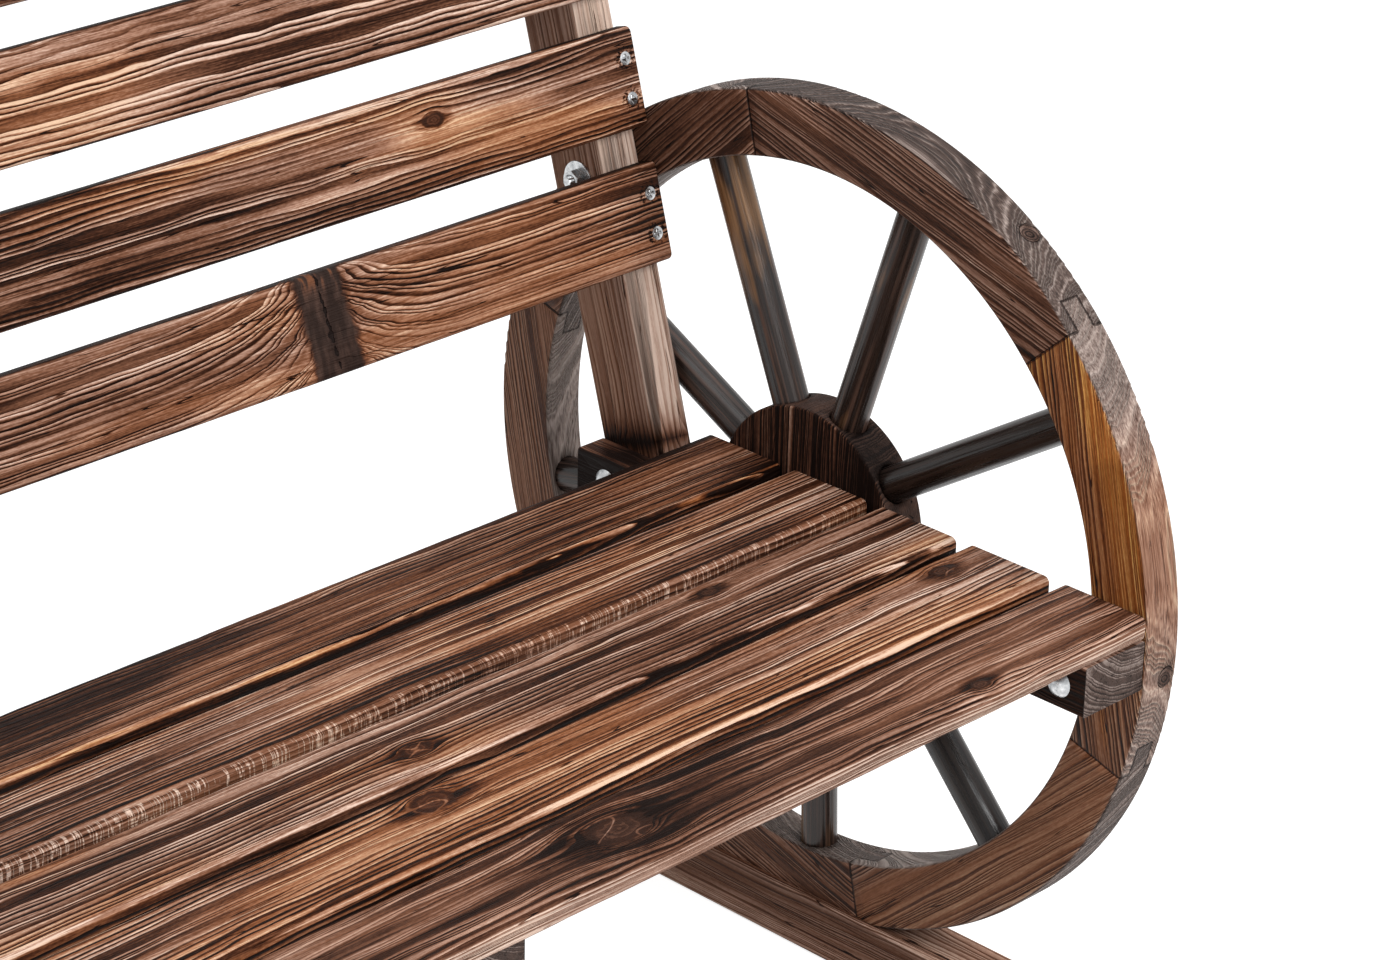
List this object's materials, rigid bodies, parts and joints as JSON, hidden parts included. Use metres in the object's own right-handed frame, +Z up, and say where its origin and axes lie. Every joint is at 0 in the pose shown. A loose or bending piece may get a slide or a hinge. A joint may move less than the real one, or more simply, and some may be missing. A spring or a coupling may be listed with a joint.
{
  "type": "wagon wheel bench",
  "caption": "Two-seat slatted garden bench in burnt softwood, carried at each end by a spoked wooden wheel that stands in a foot and serves as an armrest.",
  "frame": {"origin": "centre of the bench's bounding box in plan, on the ground under the feet", "axes": "+X along the seat towards the sitter's left hand, +Y to the rear where the backrest is, +Z up"},
  "size_m": [1.153, 0.6, 0.8801],
  "materials": {
    "burnt_timber": "burnt and brushed softwood, matt stain",
    "amber_timber": "lightly burnt softwood, matt stain",
    "varnished_timber": "dark glossy varnish",
    "zinc_steel": "zinc plated"
  },
  "bodies": {
    "root": {"felloe_right_1": "burnt_timber", "felloe_right_2": "amber_timber", "felloe_right_3": "burnt_timber", "felloe_right_4": "burnt_timber", "felloe_right_5": "burnt_timber", "felloe_right_6": "burnt_timber", "felloe_left_1": "burnt_timber", "felloe_left_2": "amber_timber", "felloe_left_3": "burnt_timber", "felloe_left_4": "burnt_timber", "felloe_left_5": "burnt_timber", "felloe_left_6": "burnt_timber", "spoke_right_1": "varnished_timber", "spoke_right_2": "varnished_timber", "spoke_right_3": "varnished_timber", "spoke_right_4": "varnished_timber", "spoke_right_5": "varnished_timber", "spoke_right_6": "varnished_timber", "spoke_right_7": "varnished_timber", "spoke_right_8": "varnished_timber", "spoke_right_9": "varnished_timber", "spoke_left_1": "varnished_timber", "spoke_left_2": "varnished_timber", "spoke_left_3": "varnished_timber", "spoke_left_4": "varnished_timber", "spoke_left_5": "varnished_timber", "spoke_left_6": "varnished_timber", "spoke_left_7": "varnished_timber", "spoke_left_8": "varnished_timber", "spoke_left_9": "varnished_timber", "hub_right": "burnt_timber", "hub_left": "burnt_timber", "foot_right": "burnt_timber", "foot_left": "burnt_timber", "seat_rail_right": "burnt_timber", "seat_rail_left": "burnt_timber", "back_post_right": "burnt_timber", "back_post_left": "burnt_timber", "seat_slat_1": "burnt_timber", "seat_slat_2": "burnt_timber", "seat_slat_3": "burnt_timber", "seat_slat_4": "burnt_timber", "seat_slat_5": "burnt_timber", "back_slat_1": "burnt_timber", "back_slat_2": "burnt_timber", "back_slat_3": "burnt_timber", "back_slat_4": "burnt_timber", "back_slat_5": "burnt_timber", "seat_batten": "burnt_timber", "rim_plugs": "burnt_timber", "rail_bolts": "zinc_steel", "post_bolts": "zinc_steel", "lap_bolts": "zinc_steel", "washers": "zinc_steel", "nuts": "zinc_steel", "seat_screws": "zinc_steel", "back_screws": "zinc_steel", "foot_screws": "zinc_steel"}
  },
  "joints": []
}
